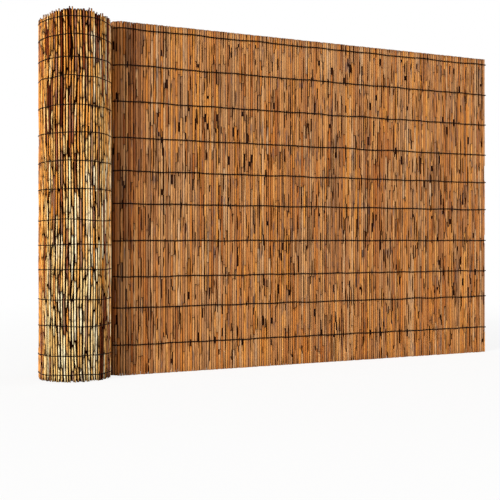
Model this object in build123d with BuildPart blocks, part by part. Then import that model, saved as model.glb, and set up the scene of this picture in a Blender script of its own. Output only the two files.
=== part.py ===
from build123d import *
from math import asin, ceil, cos, degrees, pi, radians, sin
import os

# A reed fence mat stood on its reed ends, with most of its length still rolled up.
# From left to right: the roll, the bend where the mat leaves it, and the flat panel.
# Ten folded wires hold the reeds together, and five ties keep the roll closed.
# X runs along the panel, Y through it and Z up the reeds. All sizes are in millimetres.

# Mat
mat_height = 1000.0       # length of a reed, floor to top edge
mat_thickness = 8.0       # crest to crest through the mat
reed_pitch = 7.5          # from one reed to the next
ridge_height = 1.2        # how far a reed stands out of the grooves beside it
crest_width = 3.4         # flat along the top of a reed, between its two flanks
panel_length = 1283.5     # flat run, from the bend to the free end

# Roll and bend
roll_radius = 106.5       # outer face, along the line where the mat leaves the roll
turn_gap = 1.0            # air between one turn and the next
roll_turns = 7.5          # turns in the roll
panel_setback = 26.3      # panel's middle plane, in front of the roll's axis
bend_radius = 25.0        # middle of the mat, from the roll to the panel
chord_angle = 15.0        # straight chords of the turns inside the roll

# Gaps that short reeds leave in the faces, each within one reed's width
gap_side = 0.35           # flank of the reed that is left beside a gap
gap_depth = 3.4           # from the crests into the mat
gap_lengths = (45.0, 80.0, 130.0)
gap_margin = 60.0         # gaps stay this far from the reeds' ends
front_gaps = 39           # on the panel's front
back_gaps = 24            # on the panel's back
roll_gaps = 15            # round the roll

# Steps that spread the gaps and the short reeds: fractions that hardly ever come round again
spread_along = 0.754878
spread_up = 0.569840

# Uneven reed ends on the roll's outer turn
trim_depths = (3.0, 5.0, 8.0)
trim_share = 0.09         # share of the reeds that is cut to each depth
trim_side = 0.3           # a cut reaches this far into the reeds beside it

# Wires
wire_diameter = 3.0       # two thin strands twisted together
wire_sides = 6            # flats round a wire
wire_gap = 0.1            # from a wire to the crests that it lies on
roll_chords = 18          # short straight pulls of a wire round the roll
bend_chords = 4           # and round the bend
nip_angle = 12.0          # wires end this far before the outer turn goes under the bend
drift_angle = 125.0       # behind the roll, the rows move to their other heights over this
slit_reed = 1             # ties go through the mat after this reed of the bend
slit_gap = 0.5            # room round a tie in its slit

# Heights of the wires, as shares of the mat's height measured down from its top
panel_rows = (0.020, 0.1225, 0.2255, 0.328, 0.422, 0.5145, 0.619, 0.7215, 0.809, 0.914)
roll_rows = (0.020, 0.1275, 0.256, 0.329, 0.4055, 0.4806, 0.6306, 0.6977, 0.7787, 0.9297)
tie_rows = (0.068, 0.1786, 0.5635, 0.8498, 0.981)

# Sizes that follow from those above
half_mat = mat_thickness / 2
wire_stand = wire_gap + wire_diameter / 2
turn_pitch = mat_thickness + turn_gap
bend_reach = roll_radius - half_mat + bend_radius
leave_angle = degrees(asin((bend_radius - panel_setback) / bend_reach))
core_angle = leave_angle + 360 * roll_turns
bend_arc = 90 - leave_angle
bend_along = bend_reach * cos(radians(leave_angle))
roll_count = round(2 * pi * roll_radius / reed_pitch)
bend_count = round(radians(bend_arc) * bend_radius / reed_pitch)
panel_count = round(panel_length / reed_pitch)
roll_step = 360 / roll_count
bend_step = bend_arc / bend_count
panel_step = panel_length / panel_count


def roll_face(angle):
    """Radius of the roll's outer face, which drops by one turn's pitch in each full turn."""
    return roll_radius - turn_pitch * (angle - leave_angle) / 360


# The roll's axis stands so far to the left that the whole part is centred on X = 0
left_reach = roll_face(180) + wire_stand + wire_diameter / 2
right_reach = bend_along + panel_length + wire_stand + wire_diameter / 2
roll_x = (left_reach - right_reach) / 2
bend_x = roll_x + bend_along
bend_y = bend_radius - panel_setback
panel_end = bend_x + panel_length


def at_roll(angle, radius):
    """Plan point about the roll's axis."""
    return roll_x + radius * cos(radians(angle)), radius * sin(radians(angle))


def at_bend(angle, radius):
    """Plan point about the bend's centre, the angle counted from the roll to the panel."""
    turned = radians(180 + leave_angle + angle)
    return bend_x + radius * cos(turned), bend_y + radius * sin(turned)


def roll_outside(place, rise):
    """Point on the roll's outer turn, so many reeds along and so far out of the groove."""
    angle = leave_angle + roll_step * place
    return at_roll(angle, roll_face(angle) - ridge_height + rise)


def bend_front(place, rise):
    return at_bend(bend_step * place, bend_radius + half_mat - ridge_height + rise)


def bend_back(place, rise):
    return at_bend(bend_step * place, bend_radius - half_mat + ridge_height - rise)


def panel_front(place, rise):
    return bend_x + panel_step * place, -panel_setback - half_mat + ridge_height - rise


def panel_back(place, rise):
    return bend_x + panel_step * place, -panel_setback + half_mat - ridge_height + rise


def reed_flats(face, count):
    """Outline of a row of reeds: each has a flank, a crest and a flank, groove to groove."""
    shoulder = (1 - crest_width / reed_pitch) / 2
    points = []
    for reed in range(count):
        points.append(face(reed, 0))
        points.append(face(reed + shoulder, ridge_height))
        points.append(face(reed + 1 - shoulder, ridge_height))
    points.append(face(count, 0))
    return points


def spiral(start, depth):
    """Chords wound inwards to the core, at a depth below the outer face."""
    chords = ceil((core_angle - start) / chord_angle)
    angles = [start + chord_angle * chord for chord in range(chords)] + [core_angle]
    return [at_roll(angle, roll_face(angle) - depth) for angle in angles]


def scattered(number, reeds, length):
    """Reed and height of one gap, spread evenly over the mat without a visible order."""
    reed = 1 + int(number * spread_along % 1.0 * (reeds - 2))
    room = mat_height - 2 * gap_margin - length
    height = gap_margin + length / 2 + room * (number * spread_up % 1.0)
    return reed, height


def cut_reeds(spread, mark):
    """Reeds of the outer turn whose ends are cut to one of the depths, spread in the same way."""
    return [reed for reed in range(1, roll_count) if int(reed * spread % 1.0 / trim_share) == mark]


def panel_gap_places(face, count, size):
    """Centres of the panel's gaps of one length, at the crests of their reeds."""
    places = []
    for number in range(size, count, len(gap_lengths)):
        reed, height = scattered(number, panel_count, gap_lengths[size])
        places.append((*face(reed + 0.5, ridge_height), height))
    return places


def roll_places(reeds_and_heights, depth):
    """Places on the outer turn, each turned to face out along its reed."""
    places = []
    for reed, height in reeds_and_heights:
        angle = leave_angle + roll_step * (reed + 0.5)
        point = at_roll(angle, roll_face(angle) - depth)
        places.append(Location((*point, height), (0, 0, angle)))
    return places


os.makedirs("parts", exist_ok=True)

# The roll: one strip of mat wound inwards, with the reeds standing out on its outer turn
gap_width = reed_pitch - 2 * gap_side
trim_width = reed_pitch + 2 * trim_side
outer_turn = reed_flats(roll_outside, roll_count)
inner_turns = spiral(leave_angle + 360, ridge_height)[1:]
turns_inside = spiral(leave_angle, mat_thickness)
with BuildPart() as rolled_reeds:
    with BuildSketch():
        with BuildLine():
            Polyline(*outer_turn, *inner_turns, *reversed(turns_inside), close=True)
        make_face()
    extrude(amount=mat_height)
    for size, length in enumerate(gap_lengths):
        numbers = range(size, roll_gaps, len(gap_lengths))
        with Locations(roll_places([scattered(n, roll_count, length) for n in numbers], 0)):
            Box(2 * gap_depth, gap_width, length, mode=Mode.SUBTRACT)
    for mark, depth in enumerate(trim_depths):
        tops = [(reed, mat_height) for reed in cut_reeds(spread_along, mark)]
        feet = [(reed, 0) for reed in cut_reeds(spread_up, mark)]
        with Locations(roll_places(tops + feet, half_mat)):
            Box(turn_pitch, trim_width, 2 * depth, mode=Mode.SUBTRACT)
rolled_reeds.part.label = "rolled_reeds"
export_step(rolled_reeds.part, "parts/rolled_reeds.step")

# The bend: reeds that swing from the roll to the panel, with slits for the ties
slit = wire_diameter + 2 * slit_gap
slit_angle = bend_step * slit_reed
tie_heights = [mat_height * (1 - share) for share in tie_rows]
bend_outside = reed_flats(bend_front, bend_count)
bend_inside = reed_flats(bend_back, bend_count)
with BuildPart() as bend_reeds:
    with BuildSketch():
        with BuildLine():
            Polyline(*bend_outside, *reversed(bend_inside), close=True)
        make_face()
    extrude(amount=mat_height)
    slit_point = at_bend(slit_angle, bend_radius)
    turned = (0, 0, leave_angle + slit_angle)
    with Locations([Location((*slit_point, height), turned) for height in tie_heights]):
        Box(2 * mat_thickness, slit, slit, mode=Mode.SUBTRACT)
bend_reeds.part.label = "bend_reeds"
export_step(bend_reeds.part, "parts/bend_reeds.step")

# The panel: the flat run, ridged on both faces
panel_outside = reed_flats(panel_front, panel_count)
panel_inside = reed_flats(panel_back, panel_count)
with BuildPart() as panel_reeds:
    with BuildSketch():
        with BuildLine():
            Polyline(*panel_outside, *reversed(panel_inside), close=True)
        make_face()
    extrude(amount=mat_height)
    for size, length in enumerate(gap_lengths):
        front = panel_gap_places(panel_front, front_gaps, size)
        back = panel_gap_places(panel_back, back_gaps, size)
        with Locations(front + back):
            Box(gap_width, 2 * gap_depth, length, mode=Mode.SUBTRACT)
panel_reeds.part.label = "panel_reeds"
export_step(panel_reeds.part, "parts/panel_reeds.step")


def roll_route(start_height, end_height):
    """Straight pulls round the roll from the bend to the nip, each touching at its middle."""
    half_pull = (360 - nip_angle) / roll_chords / 2
    points = []
    for pull in range(roll_chords):
        turned = half_pull * (2 * pull + 1)
        radius = (roll_face(leave_angle + turned - half_pull) + wire_stand) / cos(radians(half_pull))
        moved = min(turned / drift_angle, 1.0)
        height = start_height + moved * (end_height - start_height)
        points.append((*at_roll(leave_angle + turned, radius), height))
    nip = leave_angle + 360 - nip_angle
    points.append((*at_roll(nip, roll_face(nip) + wire_stand), end_height))
    return points


def bend_route(angles, height):
    """Corners of a wire along the hollow back of the bend."""
    return [(*at_bend(angle, bend_radius - half_mat - wire_stand), height) for angle in angles]


def make_wire(points, name):
    """A wire of even section along straight runs, mitred where they meet."""
    start, towards = Vector(*points[0]), Vector(*points[1])
    with BuildPart() as wire:
        with BuildLine() as route:
            Polyline(*points)
        with BuildSketch(Plane(start, x_dir=(0, 0, 1), z_dir=towards - start)):
            RegularPolygon(wire_diameter / 2, wire_sides)
        sweep(path=route.wire(), transition=Transition.RIGHT)
    wire.part.label = name
    export_step(wire.part, f"parts/{name}.step")


# Each weaving wire is folded round the end reed: one strand in front, one behind
front_y = -panel_setback - half_mat - wire_stand
back_y = -panel_setback + half_mat + wire_stand
bend_pull = bend_arc / bend_chords
back_angles = [bend_arc - bend_pull * pull for pull in range(bend_chords + 1)]
front_radius = (bend_radius + half_mat + wire_stand) / cos(radians(bend_pull / 2))
front_angles = [bend_arc - bend_pull * (pull + 0.5) for pull in range(bend_chords - 1)]
for number, (panel_share, roll_share) in enumerate(zip(panel_rows, roll_rows), start=1):
    height = mat_height * (1 - panel_share)
    front = [(*at_bend(angle, front_radius), height) for angle in reversed(front_angles)]
    fold = [(panel_end + wire_stand, front_y, height), (panel_end + wire_stand, back_y, height)]
    back = bend_route(back_angles, height)
    round_roll = roll_route(height, mat_height * (1 - roll_share))
    make_wire(front + fold + back + round_roll, f"weaving_wire_{number:02d}")

# Each tie starts in the nip behind the panel's end of the roll, goes round the roll,
# follows the back of the bend and comes through a slit into the nip again
tie_end = at_bend(slit_angle, bend_radius + half_mat + wire_diameter / 2)
for number, height in enumerate(tie_heights, start=1):
    around = roll_route(height, height)
    make_wire([(*tie_end, height)] + bend_route([slit_angle, 0], height) + around, f"tie_wire_{number}")
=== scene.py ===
import math
import bpy
import numpy as np
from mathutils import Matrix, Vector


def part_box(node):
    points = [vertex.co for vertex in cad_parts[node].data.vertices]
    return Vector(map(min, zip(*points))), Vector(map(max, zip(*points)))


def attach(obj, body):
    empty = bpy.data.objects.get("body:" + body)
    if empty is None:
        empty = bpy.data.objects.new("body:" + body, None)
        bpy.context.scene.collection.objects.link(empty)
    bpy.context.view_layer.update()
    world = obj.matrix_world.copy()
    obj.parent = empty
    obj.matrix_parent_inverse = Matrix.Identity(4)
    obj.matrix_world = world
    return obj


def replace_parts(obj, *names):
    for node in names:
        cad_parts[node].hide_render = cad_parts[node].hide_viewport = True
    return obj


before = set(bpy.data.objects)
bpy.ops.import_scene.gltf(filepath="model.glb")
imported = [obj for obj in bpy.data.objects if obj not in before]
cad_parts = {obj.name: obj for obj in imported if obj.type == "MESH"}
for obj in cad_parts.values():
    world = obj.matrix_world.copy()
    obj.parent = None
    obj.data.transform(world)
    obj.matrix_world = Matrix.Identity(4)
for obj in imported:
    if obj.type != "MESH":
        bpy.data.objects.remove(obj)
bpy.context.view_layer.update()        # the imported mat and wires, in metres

rng = np.random.default_rng(4417)

# plan of the mat: flat panel, bend, and turns wound inwards
matPlan = {
    "thickness": 0.0080,     # crest to crest
    "bendRadius": 0.0250,    # middle of the mat
    "rollRadius": 0.1065,    # outer face where the mat leaves the roll
    "turnPitch": 0.0090,
    "rollTurns": 7.5,
    "reedPitch": 0.0075,
    "outerPitch": 0.0073,    # the roll's outer reeds are thinner than the panel's
    "eyeAngle": math.radians(256),      # the side of the roll that faces the eye
}
panelLow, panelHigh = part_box("panel_reeds")
matHeight = panelHigh.z
panelLength = panelHigh.x - panelLow.x
panelY = (panelLow.y + panelHigh.y) / 2
halfMat = matPlan["thickness"] / 2
middleRadius = matPlan["rollRadius"] - halfMat
bendReach = middleRadius + matPlan["bendRadius"]
leaveAngle = math.asin((matPlan["bendRadius"] + panelY) / bendReach)
bendArc = math.pi / 2 - leaveAngle
bendLength = bendArc * matPlan["bendRadius"]
bendX, bendY = panelLow.x, panelY + matPlan["bendRadius"]
rollX = bendX - bendReach * math.cos(leaveAngle)
leaveAt = panelLength + bendLength      # distance from the free end to the roll


def ramp(value, start, end):
    # 0 at the start and 1 at the end, straight between them and level beyond them
    return np.clip((value - start) / (end - start), 0, 1)


def hump(value, centre, width):
    # bell curve: e to the minus square of the distance from the centre in widths
    return np.exp(-((value - centre) / width) ** 2)


def turnAngle(along):
    # angle wound since the leave line, from the arc length of the spiral
    wound = np.maximum(along - leaveAt, 0.0)
    inside = np.maximum(middleRadius ** 2 - matPlan["turnPitch"] * wound / math.pi, 1e-6)
    return (middleRadius - np.sqrt(inside)) * 2 * math.pi / matPlan["turnPitch"]


def alongAt(angle):
    # the same the other way: distance along the mat to a wound angle
    return leaveAt + middleRadius * angle - matPlan["turnPitch"] * angle ** 2 / (4 * math.pi)


def toTheRight(along):
    # -1 at the roll's left side as the eye sees it, 1 at its right: sine of the angle from the eye
    return np.sin(leaveAngle + turnAngle(along) - matPlan["eyeAngle"])


def matPoint(along, out):
    # plan point: so far along the mat from its free end, and so far out of its middle
    # towards the panel's front; straight, then an arc about the bend, then the spiral
    along, out = np.broadcast_arrays(along, out)
    swing = 1.5 * math.pi - np.clip((along - panelLength) / matPlan["bendRadius"], 0.0, bendArc)
    fromBend = matPlan["bendRadius"] + out
    turned = turnAngle(along)
    fromAxis = middleRadius - matPlan["turnPitch"] * turned / (2 * math.pi) - out
    onPanel, onBend = along < panelLength, along < leaveAt
    x = np.where(onPanel, panelHigh.x - along, np.where(
        onBend, bendX + fromBend * np.cos(swing), rollX + fromAxis * np.cos(leaveAngle + turned)))
    y = np.where(onPanel, panelY - out, np.where(
        onBend, bendY + fromBend * np.sin(swing), fromAxis * np.sin(leaveAngle + turned)))
    return x, y


def linear(code):
    # sRGB hex to linear colour
    srgb = np.array([int(code[k:k + 2], 16) for k in (1, 3, 5)]) / 255
    low, high = srgb / 12.92, ((srgb + 0.055) / 1.055) ** 2.4
    return (*np.where(srgb <= 0.04045, low, high).tolist(), 1.0)


def addNode(tree, kind, inputs=None, stops=None, **settings):
    # one node with its settings; an input is a value or another node's output socket
    node = tree.nodes.new("ShaderNode" + kind)
    for key, value in settings.items():
        setattr(node, key, value)
    for key, value in (inputs or {}).items():
        if isinstance(value, bpy.types.NodeSocket):
            tree.links.new(value, node.inputs[key])
        else:
            node.inputs[key].default_value = value
    if stops:
        colours = node.color_ramp
        while len(colours.elements) < len(stops):
            colours.elements.new(0.5)
        for element, (place, code) in zip(colours.elements, stops):
            element.position, element.color = place, linear(code)
    return node


def newMaterial(name):
    material = bpy.data.materials.new(name)
    material.use_nodes = True
    material.node_tree.nodes.clear()
    return material, material.node_tree


def putMesh(name, points, faces, sizes, smoothAngle, material, attributes):
    # a mesh from whole arrays: corner points, the corners of all faces in a row, and face sizes
    mesh = bpy.data.meshes.new(name)
    mesh.vertices.add(len(points))
    mesh.vertices.foreach_set("co", points.astype(np.float32).ravel())
    mesh.loops.add(len(faces))
    mesh.loops.foreach_set("vertex_index", faces.astype(np.int32))
    mesh.polygons.add(len(sizes))
    starts = np.concatenate([[0], np.cumsum(sizes)[:-1]])
    mesh.polygons.foreach_set("loop_start", starts.astype(np.int32))
    mesh.polygons.foreach_set("loop_total", sizes.astype(np.int32))
    mesh.polygons.foreach_set("use_smooth", np.ones(len(sizes), bool))
    mesh.update(calc_edges=True)
    mesh.set_sharp_from_angle(angle=math.radians(smoothAngle))
    for key, values in attributes.items():
        layer = mesh.attributes.new(key, "FLOAT", "POINT")
        layer.data.foreach_set("value", np.ascontiguousarray(values, np.float32).ravel())
    mesh.validate()
    mesh.materials.append(material)
    piece = bpy.data.objects.new(name, mesh)
    bpy.context.scene.collection.objects.link(piece)
    return piece


def gridFaces(count, rings, sides, turnOver):
    # quads round each of count tubes, and a flat face over each of their two ends;
    # turned over where the tube's section runs the other way round
    ring, side = np.meshgrid(np.arange(rings - 1), np.arange(sides), indexing="ij")
    after = (side + 1) % sides
    quad = np.stack([ring * sides + side, ring * sides + after,
                     (ring + 1) * sides + after, (ring + 1) * sides + side], axis=-1).reshape(-1, 4)
    start, last = np.arange(sides)[::-1], np.arange(sides) + (rings - 1) * sides
    if turnOver:
        quad, start, last = quad[:, ::-1], start[::-1], last[::-1]
    one = np.concatenate([quad.ravel(), start, last])
    sizes = np.concatenate([np.full(len(quad), 4), [sides, sides]])
    every = (np.arange(count) * rings * sides)[:, None] + one[None, :]
    return every.ravel(), np.tile(sizes, count)


# section of a reed, split: flat behind and round in front (across the mat, rise of the round)
splitSection = np.array([
    [-0.80, 0.00], [-1.00, 0.30], [-0.66, 0.80], [0.00, 1.00], [0.66, 0.80], [1.00, 0.30], [0.80, 0.00]])
turn8 = np.arange(8) * math.pi / 4
roundSection = np.stack([-np.cos(turn8), 0.5 + 0.5 * np.sin(turn8)], axis=1)

# rings of a reed from foot to top: share of its length, share of its joint's height, share of its
# thin end, shift in metres, size, dark band (dark joints, and painted shade near the foot and the top), and
# -1 at the foot's thin end or 1 at the top's; the foot is cut flat, the top is hollow with painted shade on
# its tip
footRings = [[0, 0, 0, 0, 0.62, 0, -1], [0, 0, 0, 0, 1.00, 0.7, -1],
             [0, 0, 1, -0.002, 1.00, 0, -1], [0, 0, 1, 0, 1.00, 0, 0]]
jointRings = [[0, 1, 0, -0.005, 1.00, 0, 0], [0, 1, 0, 0, 1.07, 0.6, 0], [0, 1, 0, 0.006, 0.98, 0, 0]]
topRings = [[1, 0, -1, 0, 0.98, 0, 0], [1, 0, -1, 0.002, 1.00, 0, 1], [1, 0, 0, -0.009, 1.00, 0, 1],
            [1, 0, 0, 0, 1.00, 1, 1], [1, 0, 0, 0, 0.62, 1, 1], [1, 0, 0, -0.005, 0.50, 1, 1]]
jointedReed = np.array(footRings + jointRings + topRings)
plainReed = np.array(footRings[:2] + topRings[2:])
barReed = np.array([[0, 0, 0, 0, 1, 0, 0], [1, 0, 0, 0, 1, 0, 0]])

# what all reeds share
reedPlan = {
    "longestTip": 0.28,          # of the reed's length
    "thinTowards": 0.40,         # of the rise: the height that a thin end closes on
    "grooveFade": 0.55,          # of the rise, over which the painted groove shade fades in
    "hollowSize": 0.7,           # rings smaller than this are the inside of an end, painted dark as shade
    "smoothAngle": 42,
    "lowestCut": 0.03,           # of the mat's height
    "cutSpan": 0.94,
    "closedGap": 0.0012,         # between lengths that meet
    "plainEnd": 0.95,            # size of an end that isn't thin
    "jointSpan": (0.32, 0.68),   # of the reed's length
    "toneLow": 0.12,
    "toneSpan": 0.80,
}


def reedSurface(name, reeds, section, rings, material):
    # each reed is its section carried up its length: place along the mat plus half width times the
    # section's across, out from its base by its rise times the section's rise, both times the ring's
    # size; it leans and bows along the mat, and a thin end keeps to one side
    length = (reeds["top"] - reeds["foot"])[:, None]
    tip = np.minimum(reeds["tip"][:, None], reedPlan["longestTip"] * length)
    z = reeds["foot"][:, None] + (rings[:, 0] + rings[:, 1] * reeds["joint"][:, None]) * length
    z = z + rings[:, 2] * tip + rings[:, 3]
    share = (z - reeds["foot"][:, None]) / length
    atFoot, atTop = rings[:, 6] < 0, rings[:, 6] > 0
    thin = np.where(atFoot, reeds["footSize"][:, None], np.where(atTop, reeds["topSize"][:, None], 1.0))
    size = rings[:, 4] * thin
    slide = reeds["lean"][:, None] * (share - 0.5) + reeds["bow"][:, None] * np.sin(np.pi * share)
    slide = slide + (1 - thin) * (reeds["halfWidth"] * reeds["tipSide"])[:, None]
    across, rise = section[:, 0], section[:, 1]
    along = reeds["along"][:, None, None] + slide[:, :, None]
    along = along + (reeds["halfWidth"][:, None] * size)[:, :, None] * across
    lifted = reedPlan["thinTowards"] + (rise - reedPlan["thinTowards"]) * size[:, :, None]
    out = reeds["base"][:, None, None] + reeds["rise"][:, None, None] * lifted
    x, y = matPoint(along, out)
    points = np.stack([x, y, np.broadcast_to(z[:, :, None], x.shape)], axis=-1).reshape(-1, 3)
    count, ringCount, sides = len(reeds["along"]), len(rings), len(section)
    faces, sizes = gridFaces(count, ringCount, sides, bool(reeds["rise"][0] > 0))
    whole = (count, ringCount, sides)
    # painted shade: the flanks below a rise, down in the grooves between reeds, and the inside of hollow ends
    # are darkened
    hollow = (rings[:, 4] < reedPlan["hollowSize"]).astype(float)[None, :, None]
    groove = np.clip((reeds["groove"][:, None, None] - rise) / reedPlan["grooveFade"], 0, 1)
    attributes = {
        "tone": np.broadcast_to(reeds["tone"][:, None, None], whole),
        "tint": np.broadcast_to(reeds["tint"][:, None, None], whole),
        "paintedShade": np.maximum(np.broadcast_to(groove, whole), hollow),
        "flank": np.broadcast_to(across, whole),
        "jointsAndEndShade": np.broadcast_to(rings[None, :, 5, None], whole),
    }
    piece = putMesh(name, points, faces, sizes, reedPlan["smoothAngle"], material, attributes)
    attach(piece, "root")
    print(name, count, "reeds", len(points), "points")
    return piece


def makeReeds(columns, firstAlong, pitch, side, look):
    # reeds of one layer: each column is cut into lengths at random heights, some with a gap between
    # them; side is 1 for the layer towards the panel's front and -1 for the other
    breaks = look["breaks"]
    shape, cuts = (columns, breaks + 1), (columns, breaks)
    spare = 1 - look["shortest"] * (breaks - 1)
    spot = np.sort(rng.random(cuts), axis=1) * spare + look["shortest"] * np.arange(breaks)
    spot = matHeight * (reedPlan["lowestCut"] + reedPlan["cutSpan"] * spot)
    apart = rng.random(cuts) < look["gapShare"]
    gap = np.where(apart, rng.uniform(*look["gap"], cuts), reedPlan["closedGap"])
    foot = look["uneven"] * rng.random((columns, 1)) ** 2
    top = matHeight + look["proud"] - (look["uneven"] + look["proud"]) * rng.random((columns, 1)) ** 2
    footEnd, topEnd = rng.uniform(*look["ends"], (2, columns, 1))
    thinned = rng.random((2, *cuts)) < look["thinShare"]
    thinTops, thinFeet = np.where(thinned, rng.uniform(*look["thin"], (2, *cuts)), reedPlan["plainEnd"])
    columnAt = firstAlong + (np.arange(columns) + 0.5) * pitch
    crest = halfMat - rng.uniform(0, look["sunk"], shape)
    reeds = {
        "along": columnAt[:, None] + rng.uniform(-1, 1, shape) * look["stray"],
        "base": np.full(shape, side * look["base"]),
        "rise": side * (crest - look["base"]),
        "halfWidth": rng.uniform(*look["halfWidth"], shape),
        "foot": np.concatenate([foot, spot + gap / 2], axis=1),
        "top": np.concatenate([spot - gap / 2, top], axis=1),
        "lean": rng.uniform(-1, 1, shape) * look["lean"],
        "bow": rng.uniform(-1, 1, shape) * look["bow"],
        "footSize": np.concatenate([footEnd, thinFeet], axis=1),
        "topSize": np.concatenate([thinTops, topEnd], axis=1),
        "tip": rng.uniform(*look["tip"], shape),
        "tipSide": rng.choice([-1.0, 1.0], shape),
        "groove": look["groove"] + look["grooveSpread"] * rng.uniform(-1, 1, shape),
        "joint": rng.uniform(*reedPlan["jointSpan"], shape),
        "tone": reedPlan["toneLow"] + reedPlan["toneSpan"] * rng.random(shape),
        "tint": rng.random(shape),
    }
    return {key: values.ravel() for key, values in reeds.items()}


# grain of the reed's skin: sizes of the patterns across and up in metres, and their finer detail
grainPlan = {
    "streak": ((0.0016, 0.055), 2.0),
    "patch": ((0.006, 0.075), 2.0),
    "slit": ((0.0045, 0.062), 0.0),
    "span": (0.3, 0.7),          # where most of a noise lies
    "streakShift": 0.10,
    "patchShift": 0.12,
    "stained": (0.60, 0.66),     # patches that a stain starts at and fills
    "slitFade": 0.04,
    "slitSide": (0.20, 0.45),    # the painted shade of a slit lies on one flank of the reed
    "bandCode": "#341404",
    "roughness": (0.40, 0.60),
    "shine": 0.08,
    "bumpHeight": 0.0004,
    "bumpStrength": 0.3,
}


def reedMaterial(finish):
    # dry reed: satin skin with long streaks and dark joints, with painted shade in the grooves, in thin slits
    # on one flank, in the hollow ends and near the feet and tops
    material, tree = newMaterial(finish["name"])

    def mapped(value, low, high, **target):
        inputs = {"Value": value, "From Min": low, "From Max": high, **target}
        return addNode(tree, "MapRange", inputs).outputs[0]

    def reckon(operation, first, second, **settings):
        return addNode(tree, "Math", {0: first, 1: second}, operation=operation, **settings).outputs[0]

    def blend(share, first, second):
        return addNode(tree, "Mix", {"Factor": share, 6: first, 7: second}, data_type="RGBA").outputs[2]

    place = addNode(tree, "TexCoord").outputs["Object"]
    noises = []
    for (across, up), detail in (grainPlan["streak"], grainPlan["patch"], grainPlan["slit"]):
        scaled = addNode(tree, "Mapping", {"Vector": place, "Scale": (1 / across, 1 / across, 1 / up)})
        noise = addNode(tree, "TexNoise", {"Vector": scaled.outputs[0], "Scale": 1.0, "Detail": detail})
        noises.append(noise.outputs[0])
    streak, patch, slit = noises
    tone, tint, paintedShade, flank, jointsAndEndShade = [
        addNode(tree, "Attribute", attribute_name=key).outputs["Fac"]
        for key in ("tone", "tint", "paintedShade", "flank", "jointsAndEndShade")]
    low, high = grainPlan["span"]
    streakShift, patchShift = grainPlan["streakShift"], grainPlan["patchShift"]
    shift = reckon("ADD", mapped(streak, low, high, **{"To Min": -streakShift, "To Max": streakShift}),
                   mapped(patch, low, high, **{"To Min": -patchShift, "To Max": patchShift}))
    shade = reckon("ADD", tone, shift, use_clamp=True)
    warm = addNode(tree, "ValToRGB", {"Fac": shade}, stops=finish["warm"]).outputs["Color"]
    pale = addNode(tree, "ValToRGB", {"Fac": shade}, stops=finish["pale"]).outputs["Color"]
    skin = blend(tint, warm, pale)
    stained = mapped(patch, *grainPlan["stained"], **{"To Max": finish["stainShare"]})
    skin = blend(stained, skin, linear(finish["stain"]))
    # dark joints, and painted shade near the foot and the top of each reed
    skin = blend(reckon("MULTIPLY", jointsAndEndShade, finish["bandShade"]), skin, linear(grainPlan["bandCode"]))
    # painted shade: thin dark slits where the slit noise is high, standing for shaded gaps between reeds
    paintedSlitShade = mapped(slit, finish["slitFrom"], finish["slitFrom"] + grainPlan["slitFade"])
    paintedSlitShade = reckon("MULTIPLY", paintedSlitShade, mapped(flank, *grainPlan["slitSide"]))
    # painted shade of the grooves, hollow ends and slits, all in the finish's dark groove colour
    dark = reckon("MAXIMUM", paintedShade, paintedSlitShade)
    colour = blend(dark, skin, linear(finish["groove"]))
    smoothest, roughest = grainPlan["roughness"]
    rough = mapped(streak, low, high, **{"To Min": smoothest, "To Max": roughest})
    shine = mapped(dark, 0.0, 1.0, **{"To Min": grainPlan["shine"], "To Max": 0.0})
    bump = addNode(tree, "Bump", {
        "Height": streak, "Strength": grainPlan["bumpStrength"], "Distance": grainPlan["bumpHeight"]})
    surface = addNode(tree, "BsdfPrincipled", {
        "Base Color": colour, "Roughness": rough, "Specular IOR Level": shine, "Normal": bump.outputs[0]})
    addNode(tree, "OutputMaterial", {"Surface": surface.outputs[0]})
    return material


# colours from dark to light reeds, each in a warm and a pale row that the tint mixes
# each finish's dark groove colour is the painted shade of its grooves, slits and hollow ends
rollFinish = {
    "name": "dryReedRoll",
    "warm": [(0.00, "#4A1402"), (0.16, "#762D06"), (0.32, "#A04C12"), (0.44, "#8A6450"),
             (0.58, "#D6812A"), (0.74, "#F0A448"), (0.88, "#FCC87C"), (1.00, "#FEE6BC")],
    "pale": [(0.00, "#4A1E06"), (0.16, "#7A4620"), (0.32, "#A26C36"), (0.44, "#987C6A"),
             (0.58, "#D6A254"), (0.74, "#F0C880"), (0.88, "#FCE2A4"), (1.00, "#FFF2C8")],
    "slitFrom": 0.64, "groove": "#220700", "bandShade": 0.9, "stain": "#6E4C3C", "stainShare": 0.65}
panelFinish = {
    "name": "dryReedPanel",
    "warm": [(0.00, "#80441A"), (0.14, "#A25C22"), (0.34, "#B46C2A"),
             (0.58, "#C07830"), (0.82, "#CA8436"), (1.00, "#D29248")],
    "pale": [(0.00, "#744E2E"), (0.14, "#90643E"), (0.34, "#A4744A"),
             (0.58, "#AE7E50"), (0.82, "#B88C60"), (1.00, "#C4A07C")],
    "slitFrom": 0.595, "groove": "#2C0E00", "bandShade": 0.4, "stain": "#544240", "stainShare": 0.75}
# painted shade: the heart reeds are coloured near black for the shade inside the mat
heartShadeStops = [(0.00, "#1C0800"), (0.60, "#301402"), (1.00, "#4A2A12")]
heartFinish = {
    "name": "dryReedHeartShade", "warm": heartShadeStops, "pale": heartShadeStops,
    "slitFrom": 0.50, "groove": "#120400", "bandShade": 0.9, "stain": "#1C0800", "stainShare": 0.5}
rollReed, panelReed, heartShadeMaterial = [reedMaterial(finish) for finish in (rollFinish, panelFinish, heartFinish)]

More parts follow.
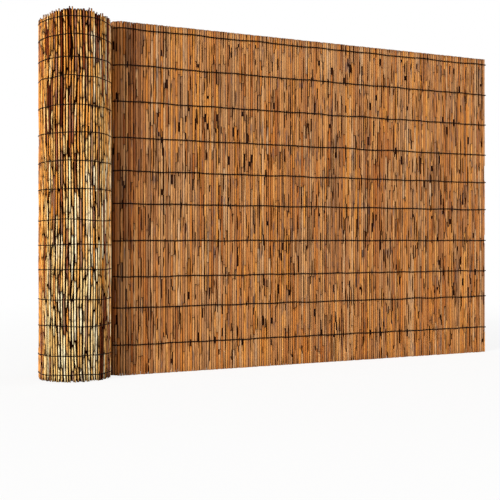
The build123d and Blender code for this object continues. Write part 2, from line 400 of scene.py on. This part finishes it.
# lengths in metres; thin, ends and the painted groove shade are shares of the reed's own size
panelLook = {
    "breaks": 5, "shortest": 0.07, "gapShare": 0.10, "gap": (0.008, 0.030),
    "uneven": 0.0012, "proud": 0.0, "sunk": 0.0006, "stray": 0.0005, "base": 0.0004,
    "halfWidth": (0.0031, 0.0040), "lean": 0.0003, "bow": 0.00015,
    "thinShare": 0.3, "thin": (0.46, 0.76), "tip": (0.012, 0.060), "ends": (0.94, 0.98),
    "groove": 0.58, "grooveSpread": 0.26,
    "rollShadowReach": 0.09, "rollShadowDepth": 0.24}     # painted shadow of the roll: darker beside it
rollLook = {
    "breaks": 10, "shortest": 0.05, "gapShare": 0.12, "gap": (0.003, 0.009),
    "uneven": 0.0040, "proud": 0.0045, "sunk": 0.0016, "stray": 0.0006, "base": 0.0004,
    "halfWidth": (0.0020, 0.0026), "lean": 0.0016, "bow": 0.0008,
    "thinShare": 0.3, "thin": (0.5, 0.8), "tip": (0.010, 0.040), "ends": (0.75, 0.98),
    "groove": 0.92, "grooveSpread": 0.0}
wholeReed = {
    "breaks": 0, "shortest": 0.0, "gapShare": 0.0, "gap": (0, 0), "proud": 0.0, "sunk": 0.0,
    "lean": 0.0, "bow": 0.0, "thinShare": 0.0, "thin": (1, 1), "tip": (0, 0), "ends": (0.94, 0.98),
    "groove": 0.60, "grooveSpread": 0.0}
heartLook = {
    **wholeReed, "uneven": 0.0060, "stray": 0.0, "base": 0.0, "halfWidth": (0.0040, 0.0042),
    "thickness": 0.0006, "inset": 0.004}
innerLook = {
    **wholeReed, "uneven": 0.0080, "stray": 0.0004, "base": 0.0004, "halfWidth": (0.0030, 0.0037),
    "play": 0.0004}      # room between a round reed and the next turn


def heartReeds(columns, firstAlong, pitch):
    # thin reeds along the middle of the mat, half a pitch aside, seen only through gaps; their near-black
    # colour is painted shade
    reeds = makeReeds(columns, firstAlong, pitch, 1, heartLook)
    reeds["along"] += pitch / 2
    reeds["base"][:] = -heartLook["thickness"] / 2
    reeds["rise"][:] = heartLook["thickness"]
    reeds["foot"] += heartLook["inset"]
    reeds["top"] -= heartLook["inset"]
    return reeds


# the flat panel and the bend
for stretch, node, stretchStart, stretchLength in (
        ("panel", "panel_reeds", 0.0, panelLength), ("bend", "bend_reeds", panelLength, bendLength)):
    columns = round(stretchLength / matPlan["reedPitch"])
    pitch = stretchLength / columns
    for name, reeds, rings, material in (
            ("Front", makeReeds(columns, stretchStart, pitch, 1, panelLook), jointedReed, panelReed),
            ("Back", makeReeds(columns, stretchStart, pitch, -1, panelLook), jointedReed, panelReed),
            ("Heart", heartReeds(columns, stretchStart, pitch), barReed, heartShadeMaterial)):
        # painted shadow: the reeds' tone is lowered where the roll shades the panel
        inRollShadow = ramp(reeds["along"], panelLength - panelLook["rollShadowReach"], panelLength)
        reeds["tone"] -= panelLook["rollShadowDepth"] * inRollShadow
        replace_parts(reedSurface(f"{stretch}{name}Reeds", reeds, splitSection, rings, material), node)

# the roll's uneven rim: its reeds have slipped down at the left and right and up at the front
rimPlan = {
    "leftDrop": 0.0130, "leftFrom": -0.2, "rightDrop": 0.0080, "rightFrom": 0.4,
    "frontLift": 0.0065, "depth": 0.012}


def dropRim(reeds):
    # ends near the top go down by the drop of their side, and up by the lift times one minus the
    # square of their place across
    side = toTheRight(reeds["along"])
    slipped = rimPlan["leftDrop"] * ramp(side, rimPlan["leftFrom"], -1.0)
    slipped = slipped + rimPlan["rightDrop"] * ramp(side, rimPlan["rightFrom"], 1.0)
    slipped = slipped - rimPlan["frontLift"] * (1 - side ** 2)
    reeds["top"] -= np.where(reeds["top"] > matHeight - rimPlan["depth"], slipped, 0.0)
    return reeds


# tones of the roll: a mood below dark makes a dark reed, below dull a dull one, above it a light one;
# each has a lowest tone and a span
rollTone = {
    "goldenStep": 0.618034,      # from stripe to stripe, so that neighbours differ
    "broadFrom": 0.58,           # stripes are two reeds broad beyond this, where they turn away
    "scatter": 0.12,
    "dark": 0.22,
    "dull": 0.36,
    "darkSpan": 0.34,
    "darkerRight": 0.4,
    "dullTones": (0.36, 0.16),
    "lightTones": (0.58, 0.42),
    "lessLightHigh": 0.10,
    "paintedLightRight": (0.08, 0.12),
    "level": 0.80,               # height that the lift below it starts from
    "lowerLift": 0.13,
    "edgeTones": (0.40, 0.36),   # the roll's edges are evener
    "edgeShare": 0.55,
    "rightEdgeShare": 0.3,       # and less so at the right
}
# lift of the mood by side and height of the roll; on the right side, which the key lamp leaves darker, the
# lifts are painted light
moodLift = {
    ("right", "all"): 0.06, ("rightHalf", "body"): 0.04, ("rightEdge", "foot"): -0.25, ("all", "hem"): -0.04,
    ("all", "waist"): 0.03, ("left", "waist"): 0.13, ("front", "waist"): -0.12, ("right", "waist"): 0.06,
    ("all", "high"): 0.05, ("left", "high"): -0.05, ("right", "upper"): 0.18, ("front", "upper"): 0.16,
    ("front", "lower"): 0.14, ("right", "lower"): -0.03, ("left", "knee"): 0.10,
}
# tint from 0, warm, to 1, pale: paler downwards, with some odd reeds
rollTint = {
    "atFoot": 1.30, "fallUpwards": 1.7, "scatter": (-0.5, 0.4), "palerHem": 0.6,
    "oddSteps": [-0.9, 0.0, 0.45], "oddShares": [0.20, 0.60, 0.20],
    "warmerWaist": 0.25, "palerRight": 0.5, "warmEdge": 0.9, "warmRight": 0.4, "warmFoot": 0.6,
}
# small changes of the roll's reeds: waves of lean, feet that stand apart, edges and the bright side, where
# the painted groove shade is less
rollShape = {
    "leanReach": 0.0018, "leanRound": 2.3, "leanUp": 14, "footSize": 0.78,
    "edgeGroove": 0.12, "brightGroove": 0.11, "edgeWidth": 0.0004,
}

# the roll: its outer turn in both faces, the turns inside as whole round reeds
turnLength = alongAt(2 * math.pi) - leaveAt
columns = round(turnLength / matPlan["outerPitch"])
pitch = turnLength / columns
outer = makeReeds(columns, leaveAt, pitch, -1, rollLook)
reedCount = len(outer["along"])
middle = (outer["foot"] + outer["top"]) / (2 * matHeight)
turned = leaveAngle + turnAngle(outer["along"])
toRight = toTheRight(outer["along"])
edge = ramp(toRight, -0.74, -0.96) + rollTone["rightEdgeShare"] * ramp(toRight, 0.90, 1.00)
rollSides = {
    "all": 1.0,
    "left": ramp(toRight, -0.40, -0.60),
    "front": ramp(np.abs(toRight), 0.60, 0.40),
    "rightHalf": ramp(toRight, -0.35, 0.05),
    "right": ramp(toRight, 0.10, 0.80),
    "rightEdge": ramp(toRight, 0.55, 0.85),
}
rollHeights = {
    "all": 1.0,
    "topHalf": ramp(middle, 0.50, 0.70),
    "body": ramp(middle, 0.88, 0.68) * ramp(middle, 0.12, 0.22),
    "high": hump(middle, 0.78, 0.10),
    "upper": hump(middle, 0.66, 0.09),
    "chest": hump(middle, 0.60, 0.08),
    "waist": hump(middle, 0.48, 0.11),
    "broadWaist": hump(middle, 0.48, 0.12),
    "knee": hump(middle, 0.37, 0.06),
    "lower": ramp(middle, 0.36, 0.30),
    "foot": ramp(middle, 0.34, 0.22),
    "hem": ramp(middle, 0.16, 0.06),
}
bright = rollSides["rightHalf"] * rollHeights["body"]
lowRight = rollSides["rightEdge"] * rollHeights["foot"]
leanWave = np.sin(rollShape["leanRound"] * turned + rollShape["leanUp"] * middle)
outer["lean"] += rollShape["leanReach"] * leanWave

# tint: falls upwards, is scattered, and is warmer at the edges and on the right
oddHue = rng.choice(rollTint["oddSteps"], reedCount, p=rollTint["oddShares"])
tint = rollTint["atFoot"] - rollTint["fallUpwards"] * middle + rng.uniform(*rollTint["scatter"], reedCount)
tint = np.clip(tint + oddHue + rollTint["palerHem"] * rollHeights["hem"], 0, 1)
tint = tint - rollTint["warmerWaist"] * rollHeights["broadWaist"]
tint = np.clip(tint + rollTint["palerRight"] * rollSides["right"] * rollHeights["chest"], 0, 1)
tint *= (1 - rollTint["warmEdge"] * edge) * (1 - rollTint["warmRight"] * rollSides["right"])
outer["tint"] = tint * (1 - rollTint["warmFoot"] * lowRight)

# tone: a mood for each length of each stripe, lifted by its place on the roll, on the right side as painted
# light
column, cut = np.divmod(np.arange(reedCount), rollLook["breaks"] + 1)
stripe = np.where(np.abs(toRight) > rollTone["broadFrom"], column // 2, column)
cutMood = rng.random(rollLook["breaks"] + 1)[cut]
mood = (rollTone["goldenStep"] * stripe + cutMood + rollTone["scatter"] * rng.random(reedCount)) % 1.0
mood += rollTone["lowerLift"] * (rollTone["level"] - middle)
for (side, height), lift in moodLift.items():
    mood += lift * rollSides[side] * rollHeights[height]
spread = (outer["tone"] - reedPlan["toneLow"]) / reedPlan["toneSpan"]
darkTone = rollTone["darkSpan"] * (1 - rollTone["darkerRight"] * rollSides["right"]) * spread
dullTone = rollTone["dullTones"][0] + rollTone["dullTones"][1] * spread
lightSpan = rollTone["lightTones"][1] - rollTone["lessLightHigh"] * rollHeights["topHalf"]
# painted light: the light reeds of the right side, turned from the key lamp, are made lighter
rightPaintedLight = rollTone["paintedLightRight"][0] + rollTone["paintedLightRight"][1] * rollHeights["chest"]
lightTone = rollTone["lightTones"][0] + lightSpan * spread + rollSides["right"] * rightPaintedLight
tone = np.where(mood < rollTone["dark"], darkTone, np.where(mood < rollTone["dull"], dullTone, lightTone))
edgeTone = rollTone["edgeTones"][0] + rollTone["edgeTones"][1] * rng.random(reedCount)
outer["tone"] = tone + (edgeTone - tone) * rollTone["edgeShare"] * edge
outer["footSize"] *= np.where(cut == 0, rollShape["footSize"], 1.0)
outer["groove"] -= rollShape["edgeGroove"] * edge + rollShape["brightGroove"] * bright
outer["halfWidth"] += rollShape["edgeWidth"] * edge

lining = makeReeds(columns, leaveAt, pitch, 1, innerLook)
insideLength = alongAt(2 * math.pi * matPlan["rollTurns"]) - leaveAt - turnLength
insideColumns = int(insideLength / matPlan["reedPitch"])
inside = makeReeds(insideColumns, leaveAt + turnLength, matPlan["reedPitch"], 1, innerLook)
inside["base"][:] = -halfMat
inside["rise"][:] = 2 * halfMat - innerLook["play"]
for name, reeds, section, rings, material in (
        ("Outer", outer, splitSection, jointedReed, rollReed),
        ("Lining", lining, splitSection, plainReed, rollReed),
        ("Heart", heartReeds(columns, leaveAt, pitch), splitSection, barReed, heartShadeMaterial),
        ("Inner", inside, roundSection, plainReed, rollReed)):
    piece = reedSurface(f"roll{name}Reeds", dropRim(reeds), section, rings, material)
    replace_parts(piece, "rolled_reeds")

# wires: rows as shares of the height from the top, on the panel and on the roll, and ties on the roll
wirePlan = {
    "panelRows": (0.020, 0.1225, 0.2255, 0.328, 0.422, 0.5145, 0.619, 0.7215, 0.809, 0.914),
    "rollRows": (0.020, 0.1275, 0.256, 0.329, 0.4055, 0.4806, 0.6306, 0.6977, 0.7787, 0.9297),
    "tieRows": (0.068, 0.1786, 0.5635, 0.8498, 0.981),
    "panelRadius": 0.0020,
    "rollRadius": 0.0015,
    "stand": 0.0006,             # middle of a wire above the crests: it is pulled into the reeds
    "sunk": 0.0013,              # deeper than that on the roll
    "ontoRoll": 0.03,            # length over which a wire changes as it comes onto the roll
    "twistPitch": 0.014,
    "lobes": (0.84, 0.16),       # mean of the section's radius, and its wave
    "step": 0.0045,
    "nipAngle": math.radians(12),
    "driftAngle": math.radians(125),
    "frontShare": 0.65,          # of the bend that the front run reaches into
    "foldReach": 0.0006,
    "foldSteps": 9,
    "tieStart": 0.02,            # before the leave line
    "weaveSway": 0.0018,
    "tieSway": 0.0030,
    "swayLength": 0.06,
    "frontLift": 0.0040,         # at the top of the roll's front
    "leftDrop": 0.0035,
    "sides": 6,
    "smoothAngle": 80,
}


def wireMaterial():
    # black annealed iron wire: thin dark scale, dull, with brown rust where it rubs
    material, tree = newMaterial("annealedWire")
    grainSize = 0.006
    place = addNode(tree, "TexCoord").outputs["Object"]
    grain = addNode(tree, "TexNoise", {"Vector": place, "Scale": 1 / grainSize, "Detail": 2.0}).outputs["Fac"]
    scale = [(0.35, "#0A0401"), (0.62, "#120703"), (0.80, "#22100A")]
    colour = addNode(tree, "ValToRGB", {"Fac": grain}, stops=scale)
    surface = addNode(tree, "BsdfPrincipled", {
        "Base Color": colour.outputs["Color"], "Roughness": 0.65, "Specular IOR Level": 0.05})
    addNode(tree, "OutputMaterial", {"Surface": surface.outputs[0]})
    return material


wireFinish = wireMaterial()


def sway(along, reach, shortest):
    # slow unevenness of a hand-pulled wire: mean of four sine waves with random lengths and phases
    waves = shortest * (1 + 4 * rng.random(4))
    phases = 2 * math.pi * rng.random(4)
    return reach * np.sin(along[:, None] * 2 * math.pi / waves + phases).mean(axis=1)


def wireSurface(name, along, out, z):
    # two-lobed section turned along the route, so that it looks like two strands twisted together;
    # the section stands across the route in the plan and upright
    step = np.hypot(np.gradient(along), np.gradient(out))
    run = np.cumsum(step)
    acrossAlong = -np.gradient(out) / step
    acrossOut = np.gradient(along) / step
    count = wirePlan["sides"]
    angle = np.arange(count) * 2 * math.pi / count
    twist = angle[None, :] - run[:, None] * math.pi / wirePlan["twistPitch"]
    lobes = wirePlan["lobes"][0] + wirePlan["lobes"][1] * np.cos(2 * twist)
    onRoll = ramp(along, leaveAt, leaveAt + wirePlan["ontoRoll"])
    thickness = wirePlan["panelRadius"] + (wirePlan["rollRadius"] - wirePlan["panelRadius"]) * onRoll
    out = out + wirePlan["sunk"] * onRoll
    side = toTheRight(along)
    crown = wirePlan["frontLift"] * (1 - side ** 2)
    crown = crown - wirePlan["leftDrop"] * ramp(side, rimPlan["leftFrom"], -1.0)
    z = z + onRoll * (z / matHeight) * crown
    radius = thickness[:, None] * lobes
    aside = radius * np.cos(angle)
    x, y = matPoint(along[:, None] + aside * acrossAlong[:, None], out[:, None] + aside * acrossOut[:, None])
    points = np.stack([x, y, z[:, None] + radius * np.sin(angle)], axis=-1).reshape(-1, 3)
    faces, sizes = gridFaces(1, len(along), count, False)
    return putMesh(name, points, faces, sizes, wirePlan["smoothAngle"], wireFinish, {})


rest = halfMat + wirePlan["stand"]
nipAlong = alongAt(2 * math.pi - wirePlan["nipAngle"])
frontEnd = panelLength + bendLength * wirePlan["frontShare"]
for number, (panelShare, rollShare) in enumerate(zip(wirePlan["panelRows"], wirePlan["rollRows"]), start=1):
    frontAlong = np.arange(frontEnd, 0, -wirePlan["step"])
    fold = np.linspace(0, math.pi, wirePlan["foldSteps"])
    backAlong = np.arange(wirePlan["step"], nipAlong, wirePlan["step"])
    along = np.concatenate([frontAlong, -wirePlan["foldReach"] * np.sin(fold), backAlong])
    frontOut, backOut = np.full(len(frontAlong), rest), np.full(len(backAlong), -rest)
    out = np.concatenate([frontOut, rest * np.cos(fold), backOut])
    drift = np.clip(turnAngle(along) / wirePlan["driftAngle"], 0, 1) * (out < 0)
    share = panelShare + (rollShare - panelShare) * drift
    face = np.sign(out + 1e-9)       # the waves run the other way on the back
    z = matHeight * (1 - share) + sway(along, wirePlan["weaveSway"], wirePlan["swayLength"]) * face
    wire = wireSurface(f"weavingWire_{number:02d}", along, out, z)
    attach(wire, "root")
    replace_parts(wire, f"weaving_wire_{number:02d}")
for number, share in enumerate(wirePlan["tieRows"], start=1):
    along = np.arange(leaveAt - wirePlan["tieStart"], nipAlong, wirePlan["step"])
    z = matHeight * (1 - share) + sway(along, wirePlan["tieSway"], wirePlan["swayLength"])
    wire = wireSurface(f"tieWire_{number}", along, np.full(len(along), -rest), z)
    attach(wire, "root")
    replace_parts(wire, f"tie_wire_{number}")
print("wires", len(wirePlan["panelRows"]) + len(wirePlan["tieRows"]))


def whiteWhereSeen(tree):
    # 1 for rays from the eye, also by way of shiny or clear things
    path = addNode(tree, "LightPath").outputs
    seen = addNode(tree, "Math", {0: path["Is Camera Ray"], 1: path["Is Glossy Ray"]}, operation="MAXIMUM")
    clear = {0: seen.outputs[0], 1: path["Is Transmission Ray"]}
    return addNode(tree, "Math", clear, operation="MAXIMUM").outputs[0]


# matt white floor that takes a soft shadow near the fence and is plain white farther off
floorPlan = {
    "reach": 40, "fadeFrom": 0.9, "fadeTo": 3.0, "nearWhite": 0.86, "farWhite": 1.0, "code": "#F4F3F1"}
plainWhite = (1, 1, 1, 1)
floorMaterial, tree = newMaterial("mattWhiteFloor")
place = addNode(tree, "TexCoord").outputs["Object"]
distance = addNode(tree, "VectorMath", {0: place}, operation="LENGTH").outputs["Value"]
fade = addNode(tree, "MapRange", {
    "Value": distance, "From Min": floorPlan["fadeFrom"], "From Max": floorPlan["fadeTo"],
    "To Min": floorPlan["nearWhite"], "To Max": floorPlan["farWhite"]})
share = addNode(tree, "Math", {0: whiteWhereSeen(tree), 1: fade.outputs[0]}, operation="MULTIPLY")
glow = addNode(tree, "Emission", {"Color": plainWhite, "Strength": 1.0})
matt = addNode(tree, "BsdfDiffuse", {"Color": linear(floorPlan["code"])})
mixed = addNode(tree, "MixShader", {0: share.outputs[0], 1: matt.outputs[0], 2: glow.outputs[0]})
addNode(tree, "OutputMaterial", {"Surface": mixed.outputs[0]})
floorMesh = bpy.data.meshes.new("floor")
far = floorPlan["reach"]
floorMesh.from_pydata([(-far, -far, 0), (far, -far, 0), (far, far, 0), (-far, far, 0)], [], [(0, 1, 2, 3)])
floorMesh.materials.append(floorMaterial)
floor = bpy.data.objects.new("floor", floorMesh)
bpy.context.scene.collection.objects.link(floor)

# white surround that lights the fence less than it shows
worldPlan = {"lightStrength": 0.36, "seenStrength": 1.0}
world = bpy.data.worlds.new("whiteRoom")
bpy.context.scene.world = world
world.use_nodes = True
tree = world.node_tree
tree.nodes.clear()
soft = addNode(tree, "Background", {"Color": plainWhite, "Strength": worldPlan["lightStrength"]})
white = addNode(tree, "Background", {"Color": plainWhite, "Strength": worldPlan["seenStrength"]})
mixed = addNode(tree, "MixShader", {0: whiteWhereSeen(tree), 1: soft.outputs[0], 2: white.outputs[0]})
addNode(tree, "OutputWorld", {"Surface": mixed.outputs[0]})
print("floor and surround")


def addLamp(name, kind, place, target, **settings):
    # a lamp at a place, turned to its target
    lamp = bpy.data.lights.new(name, kind)
    for key, value in settings.items():
        setattr(lamp, key, value)
    holder = bpy.data.objects.new(name, lamp)
    bpy.context.scene.collection.objects.link(holder)
    holder.location = place
    holder.rotation_mode = "QUATERNION"
    holder.rotation_quaternion = (Vector(target) - Vector(place)).to_track_quat("-Z", "Y")


addLamp("keyLight", "SUN", (-3.5, -1.65, 1.8), (0, 0, 0.5), energy=3.6, angle=math.radians(14))
addLamp("fillLight", "AREA", (-0.5, -4.2, 1.6), (0.1, 0, 0.5), energy=23, size=2.2)
addLamp("sideLight", "SUN", (4.2, -0.6, 1.3), (0, 0, 0.5), energy=1.75, angle=math.radians(20))

# camera: level, turned to look past the roll along the panel
viewPlan = {
    "lens": 65.35, "sensor": 36.0, "azimuth": 25.1, "fromRoll": (-0.634, -2.499),
    "height": 0.3844, "shift": -0.0212, "farthest": 100}
camera = bpy.data.objects.new("camera", bpy.data.cameras.new("camera"))
bpy.context.scene.collection.objects.link(camera)
camera.data.lens = viewPlan["lens"]
camera.data.sensor_width = viewPlan["sensor"]
camera.data.shift_y = viewPlan["shift"]
camera.data.clip_end = viewPlan["farthest"]
camera.location = (rollX + viewPlan["fromRoll"][0], viewPlan["fromRoll"][1], viewPlan["height"])
camera.rotation_euler = (math.pi / 2, 0, -math.radians(viewPlan["azimuth"]))
bpy.context.scene.camera = camera
bpy.context.scene.view_settings.view_transform = "Standard"
